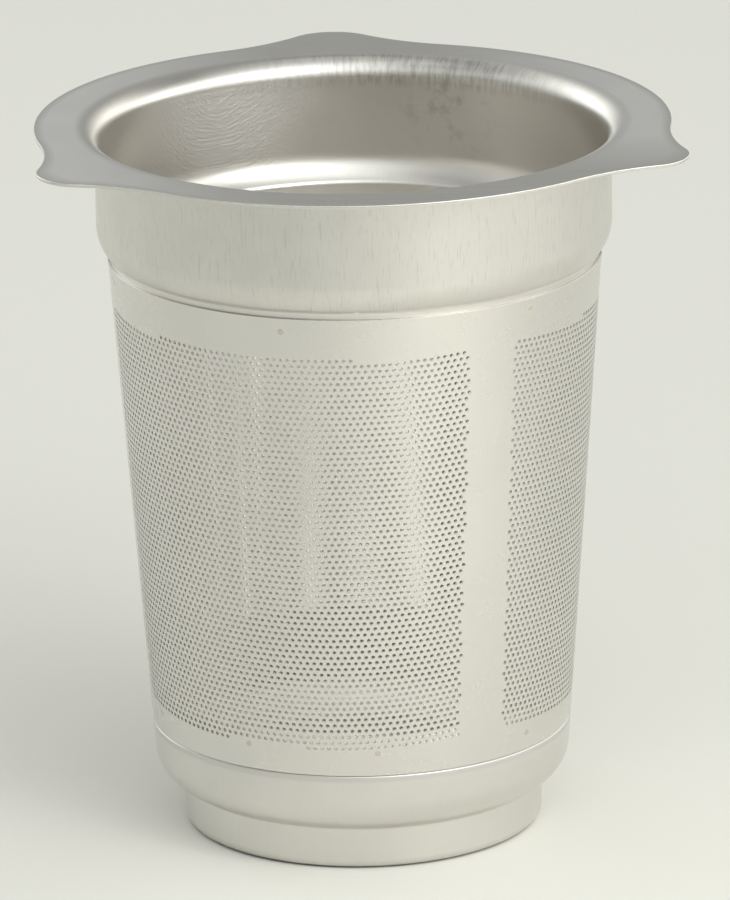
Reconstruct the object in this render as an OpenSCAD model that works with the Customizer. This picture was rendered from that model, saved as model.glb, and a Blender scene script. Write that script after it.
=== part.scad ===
// Basket strainer: an eared collar, a perforated wall and a drawn base cup, joined by spot welds.
// Millimetres, +Z up. The origin is on the axis, at the underside of the foot.
// The front is -Y. Angles are measured from +X, counterclockwise seen from above.

/* [Overall] */
// Height from the underside of the foot to the top of the flange
overall_h = 104; // [100:0.5:112]
// Thickness of the drawn sheet of the collar and the cup
drawn_t = 0.5; // [0.4:0.05:0.6]
// Thickness of the perforated sheet
sheet_t = 0.4; // [0.3:0.05:0.5]

/* [Collar] */
// Diameter of the mouth, inside the collar
mouth_d = 72.9; // [72.4:0.1:75]
// Radius of the bend between the mouth and the flange, on its upper side
lip_r = 3; // [2:0.25:4]
// Radius of the shoulder under the straight part of the collar
collar_shoulder_r = 6; // [4:0.5:8]
// Height of the hollow bend under the shoulder above the upper edge of the wall
crease_rise = 0.6; // [0.3:0.1:2]
// How far the collar reaches down inside the perforated wall
collar_lap = 5.5; // [4:0.5:6]

/* [Flange and ears] */
// Diameter of the flange between the ears
flange_d = 91; // [88:0.5:96]
// Distance from the axis to the tip of an ear
ear_reach = 52; // [50:0.1:56]
// Radius of the tip of an ear
ear_tip_r = 6.8; // [5:0.1:8]
// Radius of the hollow flank on either side of an ear
ear_flank_r = 30; // [20:1:40]
// Number of ears
ear_count = 3; // [2:1:4]
// Direction of the first ear
ear_turn = -26.4; // [-60:0.1:60]

/* [Wall] */
// Outer diameter of the perforated wall at its upper edge
wall_top_d = 70.8; // [70:0.1:71.2]
// Outer diameter of the perforated wall at its lower edge
wall_foot_d = 60.8; // [59.5:0.1:62]
// Depth of the upper edge of the perforated wall under the top of the flange
wall_drop = 19.4; // [18:0.1:21]
// Height of the lower edge of the perforated wall
wall_foot_z = 15.7; // [15:0.1:16.5]

/* [Perforation] */
// Diameter of one hole
hole_d = 1.6; // [0.8:0.1:1.6]
// Number of half pitches round the wall, a multiple of three
half_pitches = 108; // [90:3:108]
// Half pitches left plain at each of the three strips
strip_half_pitches = 3; // [3:2:7]
// Direction of the middle of the front strip
strip_turn = -56.5; // [-90:0.5:0]
// Plain height of the wall under the lowest row of holes
field_foot_margin = 4.5; // [4:0.25:8]
// Plain height of the wall above the highest row of holes
field_top_margin = 6.3; // [6:0.1:15]

/* [Base cup] */
// Outer diameter of the foot
foot_d = 52; // [50:0.1:53]
// Radius of the bend between the foot and its underside
foot_bend_r = 1.5; // [1.2:0.1:2]
// Height at which the cup's shoulder bend begins
cup_shoulder_z = 11.2; // [10.8:0.1:12]
// Radius of the cup's shoulder bend
cup_shoulder_r = 5.4; // [5:0.1:6]
// Radius of the hollow bend between the shoulder and the foot
cup_hollow_r = 0.6; // [0.5:0.1:0.8]
// How far the cup reaches up inside the perforated wall
cup_lap = 6; // [4:0.5:6.5]
// Gap of the groove under the lower edge of the wall
groove_gap = 0.15; // [0.1:0.05:0.3]

/* [Welds] */
// Diameter of one weld
weld_d = 1; // [0.8:0.1:1.4]
// Depth of the upper welds under the upper edge of the wall
rim_weld_drop = 1.7; // [1.5:0.1:2.5]
// Height of the lower welds above the lower edge of the wall
base_weld_rise = 2.7; // [2:0.1:2.8]
// Number of welds round the collar
rim_welds = 6; // [3:1:12]
// Number of welds round the cup
base_welds = 9; // [3:1:12]

/* [Hidden] */
fine = 96;
bend_step = 5;
STEEL = [0.74, 0.74, 0.72];
STEEL_DULL = [0.68, 0.67, 0.65];
WELD = [0.62, 0.58, 0.52];

wall_top_z = overall_h - wall_drop;
field_foot_z = wall_foot_z + field_foot_margin;
field_top_z = wall_top_z - field_top_margin;

// the wall is one cone: its outer radius falls by wall_slope for each millimetre of height
wall_slope = (wall_top_d - wall_foot_d) / 2 / (wall_top_z - wall_foot_z);
wall_tilt = atan(wall_slope);
wall_n = [cos(wall_tilt), -sin(wall_tilt)];
function wall_r(z) = wall_foot_d / 2 + wall_slope * (z - wall_foot_z);
function bore_r(z) = wall_r(z) - sheet_t / cos(wall_tilt);

// the collar's profile, from the top down, on the outside of the sheet
mouth_r = mouth_d / 2;
collar_r = mouth_r + drawn_t;
lip_z = overall_h - lip_r;
lip_c = [mouth_r + lip_r, lip_z];
flange_lap = 1;
// the lapped skirt ends in a hollow bend just above the wall, and the shoulder touches that bend
hollow_r = 0.6;
collar_skirt_top_z = wall_top_z + crease_rise;
hollow_c = [bore_r(collar_skirt_top_z), collar_skirt_top_z] + hollow_r * wall_n;
collar_reach_r = collar_shoulder_r + hollow_r;
shoulder_x = collar_r - collar_shoulder_r;
collar_turn = acos((hollow_c[0] - shoulder_x) / collar_reach_r);
shoulder_c = [shoulder_x, hollow_c[1] + collar_reach_r * sin(collar_turn)];
collar_skirt_foot_z = wall_top_z - collar_lap;

// the flange outline: a tip circle and two hollow flanks that touch the flange circle
flange_r = flange_d / 2;
tip_c = ear_reach - ear_tip_r;
flank_c = flange_r + ear_flank_r;
flank_a = acos((flank_c ^ 2 + tip_c ^ 2 - (ear_flank_r + ear_tip_r) ^ 2) / (2 * flank_c * tip_c));
flank_p = flank_c * [cos(flank_a), sin(flank_a)];
flank_start = flange_r * [cos(flank_a), sin(flank_a)];
flank_end = [tip_c, 0] + (flank_p - [tip_c, 0]) * ear_tip_r / (ear_flank_r + ear_tip_r);

// the cup's profile, from the top down, on the outside of the sheet
cup_top_z = wall_foot_z + cup_lap;
cup_skirt_foot = [bore_r(wall_foot_z), wall_foot_z];
band_top_z = wall_foot_z - groove_gap;
joggle_r = 0.15;
band_top = [wall_r(band_top_z - drawn_t), band_top_z - drawn_t];
cup_c = [wall_r(cup_shoulder_z), cup_shoulder_z] - cup_shoulder_r * wall_n;
foot_r = foot_d / 2;
cup_reach_r = cup_shoulder_r + cup_hollow_r;
cup_turn = acos((foot_r + cup_hollow_r - cup_c[0]) / cup_reach_r);
cup_hollow_c = cup_c + cup_reach_r * [cos(cup_turn), -sin(cup_turn)];
foot_bend_c = [foot_r - foot_bend_r, foot_bend_r];

// the perforation: one flat facet for each half pitch, so that every hole is square to its facet
facet_a = 360 / half_pitches;
facet_k = 1 / cos(facet_a / 2);
pitch = 2 * PI * wall_r((field_foot_z + field_top_z) / 2) * 2 / half_pitches;
rows = floor((field_top_z - field_foot_z) / (pitch * sqrt(3) / 2)) + 1;
row_pitch = (field_top_z - field_foot_z) / (rows - 1);
third = half_pitches / 3;
facet_z = (field_foot_z + field_top_z) / 2;
facet_w = 2 * wall_r(wall_top_z) * tan(facet_a / 2);

rim_weld_z = wall_top_z - rim_weld_drop;
rim_weld_first = -15;
base_weld_z = wall_foot_z + base_weld_rise;
base_weld_first = -19;

// points along a bend in a profile, one for each few degrees
function arc(c, r, a0, a1) = let (n = ceil(abs(a1 - a0) / bend_step))
    [for (i = [0:n]) c + r * [cos(a0 + (a1 - a0) * i / n), sin(a0 + (a1 - a0) * i / n)]];
function backwards(l) = [for (i = [len(l) - 1:-1:0]) l[i]];

// one ear, on +X, with its hollow flanks
module ear_outline() {
    difference() {
        polygon([
            [mouth_r, 0],
            flank_start,
            flank_end,
            [tip_c, 0],
            [flank_end[0], -flank_end[1]],
            [flank_start[0], -flank_start[1]]
        ]);
        for (s = [-1, 1]) {
            translate([flank_p[0], s * flank_p[1]]) circle(r = ear_flank_r, $fn = fine);
        }
    }
    translate([tip_c, 0]) circle(r = ear_tip_r, $fn = fine);
}

module flange_outline() {
    difference() {
        union() {
            circle(r = flange_r, $fn = fine);
            for (i = [0:ear_count - 1]) {
                rotate(ear_turn + i * 360 / ear_count) ear_outline();
            }
        }
        circle(r = lip_c[0] + flange_lap / 2, $fn = fine);
    }
}

// the outside of the collar's sheet, from the flange down, then back up its inside
module collar_profile() {
    function side(t) = concat(
        [[lip_c[0] + flange_lap, overall_h - drawn_t + t]],
        arc(lip_c, lip_r - drawn_t + t, 90, 180),
        arc(shoulder_c, collar_shoulder_r - t, 0, -collar_turn),
        arc(hollow_c, hollow_r + t, 180 - collar_turn, 180 - wall_tilt),
        [[bore_r(collar_skirt_foot_z), collar_skirt_foot_z] - t * wall_n]
    );
    polygon(concat(side(0), backwards(side(drawn_t))));
}

// the outside of the cup's sheet, from its upper edge down, then back up its inside
module cup_profile() {
    joggle = [
        [wall_r(band_top_z) - joggle_r, band_top_z],
        [wall_r(band_top_z) - joggle_r / 3, band_top_z - joggle_r]
    ];
    function side(t) = concat(
        [[bore_r(cup_top_z), cup_top_z] - t * wall_n, cup_skirt_foot - t * wall_n],
        t == 0 ? joggle : [],
        [band_top - t * wall_n],
        arc(cup_c, cup_shoulder_r - t, -wall_tilt, -cup_turn),
        arc(cup_hollow_c, cup_hollow_r + t, 180 - cup_turn, 180),
        arc(foot_bend_c, foot_bend_r - t, 0, -90),
        [[0, t]]
    );
    polygon(concat(side(0), backwards(side(drawn_t))));
}

// puts its children on facet i: +Z square out of the sheet, +X down the sheet, origin at facet_z
module on_facet(i) {
    rotate(strip_turn + i * facet_a) translate([wall_r(facet_z), 0, facet_z])
        rotate([0, 90 + wall_tilt, 0]) children();
}

// a cone cut to one flat facet for each half pitch, each facet depth inside the outer surface
module faceted_cone(depth, over) {
    spare = sheet_t / 4;
    difference() {
        translate([0, 0, wall_foot_z - over]) cylinder(
            r1 = wall_r(wall_foot_z - over) * facet_k + spare,
            r2 = wall_r(wall_top_z + over) * facet_k + spare,
            h = wall_top_z - wall_foot_z + 2 * over,
            $fn = fine
        );
        for (i = [0:half_pitches - 1]) {
            on_facet(i) translate([0, 0, facet_w / 2 - depth])
                cube([2 * overall_h, facet_w * 1.1, facet_w], center = true);
        }
    }
}

module perforation() {
    inset = (strip_half_pitches + 1) / 2;
    for (f = [0:2], i = [inset:third - inset], row = [0:rows - 1]) {
        if ((i + row) % 2 == 0)
            on_facet(f * third + i)
                translate([(facet_z - field_foot_z - row * row_pitch) / cos(wall_tilt), 0, 0])
                cylinder(d = hole_d, h = 4 * sheet_t, center = true, $fn = 24);
    }
}

// one ring of welds, each through the wall and the skirt behind it
module weld_ring(count, first, z, reach) {
    for (k = [0:count - 1]) {
        on_facet(first + round(k * half_pitches / count))
            translate([(facet_z - z) / cos(wall_tilt), 0, -sheet_t - drawn_t - reach])
            cylinder(d = weld_d, h = sheet_t + drawn_t + 2 * reach, $fn = 24);
    }
}

module rim_weld_ring(reach) {
    weld_ring(rim_welds, rim_weld_first, rim_weld_z, reach);
}

module base_weld_ring(reach) {
    weld_ring(base_welds, base_weld_first, base_weld_z, reach);
}

module collar() {
    color(STEEL) {
        difference() {
            rotate_extrude($fn = fine) collar_profile();
            rim_weld_ring(drawn_t / 2);
        }
        translate([0, 0, overall_h - drawn_t]) linear_extrude(drawn_t) flange_outline();
    }
}

module base_cup() {
    color(STEEL) difference() {
        rotate_extrude($fn = fine) cup_profile();
        base_weld_ring(drawn_t / 2);
    }
}

module perforated_wall() {
    color(STEEL_DULL) difference() {
        faceted_cone(0, 0);
        faceted_cone(sheet_t, 2 * sheet_t);
        perforation();
        rim_weld_ring(drawn_t / 2);
        base_weld_ring(drawn_t / 2);
    }
}

module rim_spot_welds() {
    color(WELD) rim_weld_ring(0);
}

module base_spot_welds() {
    color(WELD) base_weld_ring(0);
}

collar();
perforated_wall();
base_cup();
rim_spot_welds();
base_spot_welds();
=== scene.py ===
# %% [markdown]
# # A basket strainer in brushed steel
#
# The object is a small steel basket that hangs in a mug or a pot. A drawn collar with
# a flat eared flange sits on top, a rolled sheet with thousands of fine holes makes the
# wall, and a drawn cup closes the foot. Spot welds hold the three together.
#
# The lesson builds each piece as a surface worked out with numpy, gives it a steel
# finish made of nodes, and then sets up the floor, the light and the camera.

import math

import bpy
import numpy as np
from mathutils import Matrix, Vector
from mathutils.bvhtree import BVHTree
from mathutils.geometry import delaunay_2d_cdt


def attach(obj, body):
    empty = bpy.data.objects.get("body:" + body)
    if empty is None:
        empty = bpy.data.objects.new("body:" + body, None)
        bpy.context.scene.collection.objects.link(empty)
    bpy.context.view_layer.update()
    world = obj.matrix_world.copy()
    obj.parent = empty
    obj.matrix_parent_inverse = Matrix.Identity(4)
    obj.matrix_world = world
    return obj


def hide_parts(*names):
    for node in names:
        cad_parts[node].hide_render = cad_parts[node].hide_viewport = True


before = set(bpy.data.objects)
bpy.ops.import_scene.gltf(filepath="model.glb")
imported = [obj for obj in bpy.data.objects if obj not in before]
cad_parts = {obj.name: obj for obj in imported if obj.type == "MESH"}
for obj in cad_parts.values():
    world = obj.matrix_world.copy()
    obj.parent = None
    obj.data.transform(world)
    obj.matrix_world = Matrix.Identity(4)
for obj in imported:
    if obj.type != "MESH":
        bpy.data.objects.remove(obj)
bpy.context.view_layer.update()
print("CAD nodes:", sorted(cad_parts))

# %% [markdown]
# ## Sizes
#
# Lengths are in millimetres here, as on a drawing, and become metres only when a mesh is
# written. Azimuths are turned so that 0 looks at the viewer, along -Y, and +90 is on the
# right, along +X. The perforated wall is one cone, so its radius follows from the height.

# %% Sizes of the strainer
MM = 0.001
HEIGHT = 104.0
DRAWN_T = 0.5
SHEET_T = 0.4
MOUTH_R = 36.45
LIP_R = 3.0
SHOULDER_R = 6.0
HOLLOW_R = 0.6
CREASE_RISE = 0.6
COLLAR_LAP = 5.5
FLANGE_R = 45.5
EAR_REACH = 52.0
EAR_TIP_R = 6.8
EAR_FLANK_R = 30.0
EAR_AZIMUTHS = (63.6, 183.6, 303.6)
WALL_TOP = (35.4, 84.6)
WALL_FOOT = (30.4, 15.7)
FOOT_R = 26.0
FOOT_BEND_R = 1.5
CUP_LAP = 6.0
CUP_SHOULDER_Z = 11.2
CUP_SHOULDER_R = 5.4

SLOPE = (WALL_TOP[0] - WALL_FOOT[0]) / (WALL_TOP[1] - WALL_FOOT[1])
TILT = math.atan(SLOPE)
WALL_OUT = np.array([math.cos(TILT), -math.sin(TILT)])
APEX_Z = WALL_FOOT[1] - WALL_FOOT[0] / SLOPE


def wall_r(z):
    """Outer radius of the wall: the foot radius plus the slope for each millimetre of height."""
    return WALL_FOOT[0] + SLOPE * (z - WALL_FOOT[1])


def bore_r(z):
    """Inner radius of the wall at the same height, one sheet thickness inside the outer cone."""
    return wall_r(z) - SHEET_T / math.cos(TILT)


print(f"wall cone: tilt {math.degrees(TILT):.2f} degrees, apex {APEX_Z:.1f} mm")

# %% [markdown]
# ## From arrays to a mesh
#
# Every piece below ends as an array of points and an array of faces. One helper writes
# them with foreach_set, which is fast even for half a million faces. Sheet metal has
# curved surfaces that run on without a break, so the exact normals are given as well:
# the highlights then run as smoothly as on the real steel.


# %% Mesh helpers
UP = np.array([0.0, 0.0, 1.0])
GRAIN_R = 36.0


def unit(vectors):
    """Each row divided by its own length."""
    return vectors / np.linalg.norm(vectors, axis=-1, keepdims=True)


def write_mesh(name, points, faces, corner_normals, grain, inside=None):
    """A mesh object from points in mm, faces as rows of point numbers and a normal for each corner.
    grain is GRAIN_R times the outward direction plus the length down the sheet along z; the welds and
    the seam give their own points instead. inside marks a sheet's inner face: its first number is 1
    where the sheet is plain, its second where it is perforated."""
    sides = faces.shape[1]
    mesh = bpy.data.meshes.new(name)
    mesh.vertices.add(len(points))
    mesh.vertices.foreach_set("co", (points * MM).astype(np.float32).ravel())
    mesh.loops.add(faces.size)
    mesh.loops.foreach_set("vertex_index", faces.astype(np.int32).ravel())
    mesh.polygons.add(len(faces))
    mesh.polygons.foreach_set("loop_start", np.arange(0, faces.size, sides, dtype=np.int32))
    mesh.update(calc_edges=True)
    mesh.polygons.foreach_set("use_smooth", np.ones(len(faces), dtype=bool))
    for key, values in (("grain", grain), ("inside", inside)):
        if values is not None:
            layer = mesh.attributes.new(key, "FLOAT_VECTOR", "POINT")
            layer.data.foreach_set("vector", values.astype(np.float32).ravel())
    mesh.normals_split_custom_set(corner_normals.reshape(-1, 3).astype(np.float32))
    piece = bpy.data.objects.new(name, mesh)
    bpy.context.scene.collection.objects.link(piece)
    return piece


def around(azimuth):
    """The outward direction at an azimuth in radians: (sin a, -cos a, 0)."""
    return np.stack([np.sin(azimuth), -np.cos(azimuth), np.zeros_like(azimuth)], -1)


def along(azimuth):
    """The direction in which the azimuth grows: (cos a, sin a, 0)."""
    return np.stack([np.cos(azimuth), np.sin(azimuth), np.zeros_like(azimuth)], -1)


def turned_away(azimuth, middle):
    """How far azimuths lie from a middle one, in radians from -pi to pi."""
    return (azimuth - middle + math.pi) % (2 * math.pi) - math.pi


# %% Triangle helpers
def facing_of(points, faces):
    """The way each triangle faces: the cross product of two of its sides."""
    corners = points[faces]
    return np.cross(corners[:, 1] - corners[:, 0], corners[:, 2] - corners[:, 0])


def flat_normals(points, faces):
    """The way each triangle faces, given to its three corners, so that its edges stay sharp."""
    return np.repeat(unit(facing_of(points, faces))[:, None], 3, axis=1)


def renumbered(faces):
    """The points that the triangles use, and the triangles numbered by their places in that list."""
    used, numbers = np.unique(faces, return_inverse=True)
    return used, numbers.reshape(-1, 3)


def ring_faces(radii, columns):
    """Two triangles between neighbouring rows and columns, both closed on themselves.
    A row of radius 0 is one point, so it gets one number and its empty triangles go."""
    row, column = np.arange(len(radii))[:, None], np.arange(columns)[None, :]
    number = row * columns + np.where(np.isclose(radii, 0)[:, None], 0, column)
    a, b = number, np.roll(number, -1, axis=1)
    d, c = np.roll(a, -1, axis=0), np.roll(b, -1, axis=0)
    faces = np.stack([np.stack([a, d, c], -1), np.stack([a, c, b], -1)], 2).reshape(-1, 3)
    ordered = np.sort(faces, axis=1)
    return faces[(ordered[:, 1:] != ordered[:, :-1]).all(1)]


# %% [markdown]
# ## Profiles
#
# A drawn or spun sheet is a profile turned round an axis. The profile is a closed line
# that goes down one face of the sheet and back up the other. It is made of bends alone:
# each bend is an arc, and the straight runs are simply the gaps between two bends. A row
# of the profile holds a radius, a height, and the two parts of the outward normal.


# %% Profile and turning
def bend(centre, radius, start, end, steps, outward=1):
    """An arc: the centre plus the radius times (cos t, sin t), t running evenly from start to end.
    The normal is (cos t, sin t) times outward, which is -1 where the steel lies outside the arc."""
    t = np.radians(np.linspace(start, end, steps + 1))
    ray = np.stack([np.cos(t), np.sin(t)], 1)
    return np.hstack([np.asarray(centre) + radius * ray, outward * ray])


def point(r, z, normal_r, normal_z):
    """One point of a profile with its normal."""
    return np.array([[r, z, normal_r, normal_z]])


def path_length(profile):
    """How far along the profile each point lies, the sum of the steps before it."""
    steps = np.linalg.norm(np.diff(profile[:, :2], axis=0), axis=1)
    return np.concatenate([[0.0], np.cumsum(steps)])


def turned(name, profile, azimuth, edge=None):
    """A closed sheet turned round the axis: point (i, j) is profile point i carried to azimuth j.
    edge says which rows follow an outline that isn't round: (rows, reach for each azimuth, and the
    outline's own outward direction), so the rows move out by the reach and their normals turn."""
    radius = profile[:, 0][:, None] + np.zeros_like(azimuth)
    radial = np.broadcast_to(around(azimuth), (len(profile), len(azimuth), 3)).copy()
    if edge is not None:
        rows, reach, facing = edge
        radius[rows] += reach
        radial[rows] = facing
    out = around(azimuth)[None]
    points = radius[..., None] * out + profile[:, 1][:, None, None] * UP
    normals = profile[:, 2][:, None, None] * radial + profile[:, 3][:, None, None] * UP
    length = path_length(profile)[:, None, None]
    grain = GRAIN_R * np.broadcast_to(out, points.shape) + length * UP
    used, faces = renumbered(ring_faces(profile[:, 0], len(azimuth)))
    points, normals, grain = (v.reshape(-1, 3)[used] for v in (points, normals, grain))
    if (facing_of(points, faces) * normals[faces[:, 0]]).sum() < 0:
        faces = faces[:, ::-1]
    return write_mesh(name, points, faces, unit(normals)[faces], grain)


# %% [markdown]
# ## The collar
#
# The collar is drawn from one disc. Its flange is flat and has three soft ears, which
# keep it from turning in the pot. The outline of an ear is a tip circle that runs through
# two hollow flanks into the round flange, and all three arcs touch. Seen from the axis,
# that outline is a radius for each azimuth, so the flange can be turned like the rest,
# with its outer rows moved out by the outline.

# %% Ear outline
flank_centre = FLANGE_R + EAR_FLANK_R
tip_centre = EAR_REACH - EAR_TIP_R
flank_turn = math.acos(
    (flank_centre**2 + tip_centre**2 - (EAR_FLANK_R + EAR_TIP_R) ** 2)
    / (2 * flank_centre * tip_centre)
)
touch = np.array([tip_centre, 0.0]) + (EAR_TIP_R / (EAR_FLANK_R + EAR_TIP_R)) * (
    flank_centre * np.array([math.cos(flank_turn), math.sin(flank_turn)]) - [tip_centre, 0.0]
)
tip_turn = math.atan2(touch[1], touch[0])


def flange_reach(azimuth):
    """Radius of the flange's outline. With d the turn from the nearest ear's middle:
    inside the tip, r = c cos d + sqrt(t^2 - (c sin d)^2) for the tip circle;
    on the flank, r = C cos e - sqrt(f^2 - (C sin e)^2) for the hollow circle, e its own turn;
    elsewhere the round flange."""
    d = np.abs(turned_away(azimuth[:, None], np.radians(EAR_AZIMUTHS))).min(axis=1)
    e = flank_turn - d
    tip = tip_centre * np.cos(d) + np.sqrt(
        np.maximum(EAR_TIP_R**2 - (tip_centre * np.sin(d)) ** 2, 0)
    )
    flank = flank_centre * np.cos(e) - np.sqrt(
        np.maximum(EAR_FLANK_R**2 - (flank_centre * np.sin(e)) ** 2, 0)
    )
    return np.where(d <= tip_turn, tip, np.where(d < flank_turn, flank, FLANGE_R))


even = np.radians(np.arange(0.0, 360.0, 1.0))
near_ears = np.concatenate(
    [
        math.radians(a) + np.concatenate([side * np.linspace(0, tip_turn, 25) for side in (-1, 1)])
        for a in EAR_AZIMUTHS
    ]
    + [
        math.radians(a) + side * np.linspace(tip_turn, flank_turn, 30)
        for a in EAR_AZIMUTHS
        for side in (-1, 1)
    ]
) % (2 * math.pi)
collar_azimuths = np.unique(np.round(np.concatenate([even, near_ears]), 7))
print(f"ear: tip to {math.degrees(tip_turn):.2f}, flank to {math.degrees(flank_turn):.2f} degrees")
print("collar:", len(collar_azimuths), "azimuths")

# %% Collar profile
lip_centre = (MOUTH_R + LIP_R, HEIGHT - LIP_R)
crease_z = WALL_TOP[1] + CREASE_RISE
hollow_centre = np.array([bore_r(crease_z), crease_z]) + HOLLOW_R * WALL_OUT
shoulder_x = MOUTH_R + DRAWN_T - SHOULDER_R
shoulder_turn = math.acos((hollow_centre[0] - shoulder_x) / (SHOULDER_R + HOLLOW_R))
shoulder_rise = (SHOULDER_R + HOLLOW_R) * math.sin(shoulder_turn)
shoulder_centre = np.array([shoulder_x, hollow_centre[1] + shoulder_rise])
turn_deg, tilt_deg = math.degrees(shoulder_turn), math.degrees(TILT)
EDGE_R = 0.1
skirt_foot_z = WALL_TOP[1] - COLLAR_LAP + EDGE_R
skirt_foot = np.array([bore_r(skirt_foot_z), skirt_foot_z]) - 0.5 * DRAWN_T * WALL_OUT
half = DRAWN_T / 2 - EDGE_R
skirt_outer = skirt_foot + half * WALL_OUT
skirt_inner = skirt_foot - half * WALL_OUT
flange_edge_r = FLANGE_R - EDGE_R

collar_bends = {
    "upper edge": bend((flange_edge_r, HEIGHT - EDGE_R), EDGE_R, 0, 90, 4),
    "lip": bend(lip_centre, LIP_R, 90, 180, 20),
    "shoulder": bend(shoulder_centre, SHOULDER_R - DRAWN_T, 0, -turn_deg, 12, -1),
    "hollow": bend(hollow_centre, HOLLOW_R + DRAWN_T, 180 - turn_deg, 180 - tilt_deg, 8),
    "inner foot": bend(skirt_inner, EDGE_R, 180 - tilt_deg, 270, 4),
    "outer foot": bend(skirt_outer, EDGE_R, 270, 360 - tilt_deg, 4),
    "outer hollow": bend(hollow_centre, HOLLOW_R, 180 - tilt_deg, 180 - turn_deg, 8, -1),
    "outer shoulder": bend(shoulder_centre, SHOULDER_R, -turn_deg, 0, 12),
    "outer lip": bend(lip_centre, LIP_R - DRAWN_T, 180, 90, 20, -1),
    "lower edge": bend((flange_edge_r, HEIGHT - DRAWN_T + EDGE_R), EDGE_R, -90, 0, 4),
}
collar_profile = np.vstack(list(collar_bends.values()))
edge_count = len(collar_bends["upper edge"])
edge_rows = np.r_[0:edge_count, len(collar_profile) - edge_count : len(collar_profile)]
NUDGE = 1e-5
reach = flange_reach(collar_azimuths)
swing = -(flange_reach(collar_azimuths + NUDGE) - reach) / NUDGE / reach
edge_facing = unit(around(collar_azimuths) + swing[:, None] * along(collar_azimuths))
collar = turned(
    "collar_shell", collar_profile, collar_azimuths, (edge_rows, reach - FLANGE_R, edge_facing)
)
print("collar:", len(collar_profile), "profile points,", len(collar.data.polygons), "faces")

# %% [markdown]
# ## The base cup
#
# The foot of the basket is a second drawing: a cup whose upper edge is stepped in by one
# sheet thickness, so that the wall slides over it and the two run flush. Below the step
# come a short band, a round shoulder, a tight hollow and the foot. The profile again goes
# down the outside and back up the inside, and meets the axis at the bottom, where a whole
# row of the grid is one point and its faces become a fan.

# %% Base cup profile
GROOVE = 0.05
band_top_z = WALL_FOOT[1] - GROOVE
ledge_r = 0.14
band_edge_r = 0.3
skirt_r = bore_r(band_top_z)
ledge_centre = (skirt_r + ledge_r, band_top_z + ledge_r)
band_edge_centre = (
    wall_r(band_top_z - band_edge_r) - band_edge_r * math.cos(TILT),
    band_top_z - band_edge_r,
)
cup_centre = np.array([wall_r(CUP_SHOULDER_Z), CUP_SHOULDER_Z]) - CUP_SHOULDER_R * WALL_OUT
cup_reach = CUP_SHOULDER_R + HOLLOW_R
cup_turn = math.degrees(math.acos((FOOT_R + HOLLOW_R - cup_centre[0]) / cup_reach))
cup_hollow_centre = cup_centre + cup_reach * np.array(
    [math.cos(math.radians(cup_turn)), -math.sin(math.radians(cup_turn))]
)
foot_centre = (FOOT_R - FOOT_BEND_R, FOOT_BEND_R)

step_r = 0.8
step_turn = math.acos(1 - SHEET_T / (2 * step_r)) - TILT
step_from = (
    np.array([wall_r(band_top_z - 0.4), band_top_z - 0.4]) - (DRAWN_T + step_r) * WALL_OUT
)
step_to = step_from + 2 * step_r * np.array([math.cos(step_turn), math.sin(step_turn)])
step_deg = math.degrees(step_turn)

cup_top_z = WALL_FOOT[1] + CUP_LAP - EDGE_R
cup_top = np.array([bore_r(cup_top_z), cup_top_z]) - DRAWN_T / 2 * WALL_OUT
cup_top_outer, cup_top_inner = cup_top + half * WALL_OUT, cup_top - half * WALL_OUT

cup_profile = np.vstack(
    [
        bend(cup_top_inner, EDGE_R, 180 - tilt_deg, 90, 4),
        bend(cup_top_outer, EDGE_R, 90, -tilt_deg, 4),
        bend(ledge_centre, ledge_r, 180, 270, 5, -1),
        bend(band_edge_centre, band_edge_r, 90, -tilt_deg, 6),
        bend(cup_centre, CUP_SHOULDER_R, -tilt_deg, -cup_turn, 16),
        bend(cup_hollow_centre, HOLLOW_R, 180 - cup_turn, 180, 8, -1),
        bend(foot_centre, FOOT_BEND_R, 0, -90, 12),
        point(0.0, 0.0, 0.0, -1.0),
        point(0.0, DRAWN_T, 0.0, 1.0),
        bend(foot_centre, FOOT_BEND_R - DRAWN_T, -90, 0, 10, -1),
        bend(cup_hollow_centre, HOLLOW_R + DRAWN_T, 180, 180 - cup_turn, 8),
        bend(cup_centre, CUP_SHOULDER_R - DRAWN_T, -cup_turn, -tilt_deg, 14, -1),
        bend(step_from, step_r, -tilt_deg, step_deg, 6, -1),
        bend(step_to, step_r, 180 + step_deg, 180 - tilt_deg, 6),
    ]
)
base_cup = turned("base_cup_shell", cup_profile, even)
print("base cup:", len(cup_profile), "profile points,", len(base_cup.data.polygons), "faces")

# %% [markdown]
# ## The perforated wall
#
# The wall is cut from flat sheet and rolled to a cone. It has three fields of holes with a
# plain strip between them. The holes stand on a regular triangular lattice, 1 mm apart,
# whose rows are straight on the flat sheet, so on the rolled wall they sag in a bow.
# The piece is made the same way: one flat third with its holes is triangulated, rolled,
# and turned three times. A texture of dots would be quicker, but light would not pass
# through it, and the far wall, seen through the near one, makes the ripples in the picture.

# %% Flat lattice of holes
PITCH = 0.997
ROW = PITCH * math.sqrt(3) / 2
HOLE_R = 0.28
FIELD_Z = (19.83, 78.6)
FIRST_ROW_Z = 19.79
STRIP_HALF = 3.75
LATTICE_SHIFT = 0.42
SIDE_COLUMNS = 45
FIELD_AZIMUTHS = (-26.5, 93.5, 213.5)
SINE, COSINE = math.sin(TILT), math.cos(TILT)


def slant(z):
    """How far from the cone's apex along the sheet: the height above it over the tilt's cosine."""
    return (z - APEX_Z) / COSINE


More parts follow.
